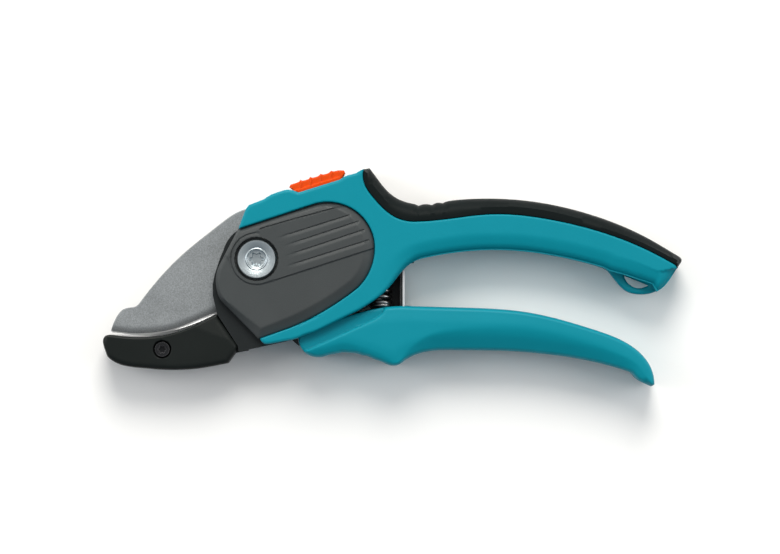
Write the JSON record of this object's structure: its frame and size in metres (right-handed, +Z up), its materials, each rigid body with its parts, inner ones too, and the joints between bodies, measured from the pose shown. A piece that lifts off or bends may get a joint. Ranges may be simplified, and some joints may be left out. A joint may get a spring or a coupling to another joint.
{
  "type": "pruning shears",
  "caption": "Anvil pruning shears with a lever-driven blade, linked lower handle, slide lock, rubber-backed grip, screwed anvil and hanging loop.",
  "frame": {"origin": "pivot bolt's axis in the plane of the back cover's flat face, on which the shears lie", "axes": "+X along the shears from jaw to handle ends, +Y from lower to upper handle, +Z up through the thickness, towards the bolt head"},
  "size_m": [0.2106, 0.0792, 0.022],
  "materials": {
    "teal_plastic": "fine satin glass-filled nylon",
    "black_rubber": "soft matt over-moulded grip",
    "grey_plastic": "fine spark-eroded satin",
    "carrier_plastic": "satin black",
    "anvil_plastic": "satin black",
    "orange_plastic": "satin",
    "coated_steel": "grey non-stick coating",
    "bright_steel": "turned and plated",
    "spring_steel": "drawn wire",
    "black_steel": "black oxide"
  },
  "bodies": {
    "frame": {"anvil_carrier": "carrier_plastic", "anvil": "anvil_plastic", "anvil_screw": "black_steel", "housing_front": "teal_plastic", "housing_back": "teal_plastic", "soft_grip": "black_rubber", "cover_front": "grey_plastic", "cover_back": "grey_plastic", "pivot_bolt": "bright_steel", "nut_washer": "bright_steel", "pivot_nut": "bright_steel", "blade_washers": "bright_steel", "housing_screws": "black_steel", "spring_stop": "carrier_plastic", "lock_spring": "bright_steel", "return_spring": "spring_steel"},
    "blade": {"blade": "coated_steel", "link_pin_upper": "bright_steel", "link_spacers": "bright_steel"},
    "lower_handle": {"lower_handle": "teal_plastic", "hinge_pin": "bright_steel", "link_pin_lower": "bright_steel"},
    "link": {"link": "black_steel"},
    "lock": {"lock_slider": "orange_plastic", "lock_catch": "bright_steel"}
  },
  "joints": [
    {"name": "handle_squeeze", "type": "hinge", "parent": "frame", "child": "lower_handle", "pos_m": [0.022, -0.0286, 0.011], "axis": [0, 0, -1], "range_deg": [-0.4, 28], "deforming": ["return_spring"]},
    {"name": "blade_pivot", "type": "hinge", "parent": "frame", "child": "blade", "pos_m": [0, 0, 0.011], "axis": [0, 0, -1], "range_deg": [-0.4, 28]},
    {"name": "link_pivot", "type": "hinge", "parent": "lower_handle", "child": "link", "pos_m": [0.05, -0.0215, 0.011], "axis": [0, 0, -1], "range_deg": [-28, 0.4]},
    {"name": "lock_slide", "type": "slide", "parent": "frame", "child": "lock", "axis": [0.9548, 0.2974, 0], "range_m": [0, 0.004]}
  ],
  "couplings": [
    {"joint": "blade_pivot", "follows": "handle_squeeze", "ratio": 1},
    {"joint": "link_pivot", "follows": "handle_squeeze", "ratio": -1}
  ]
}
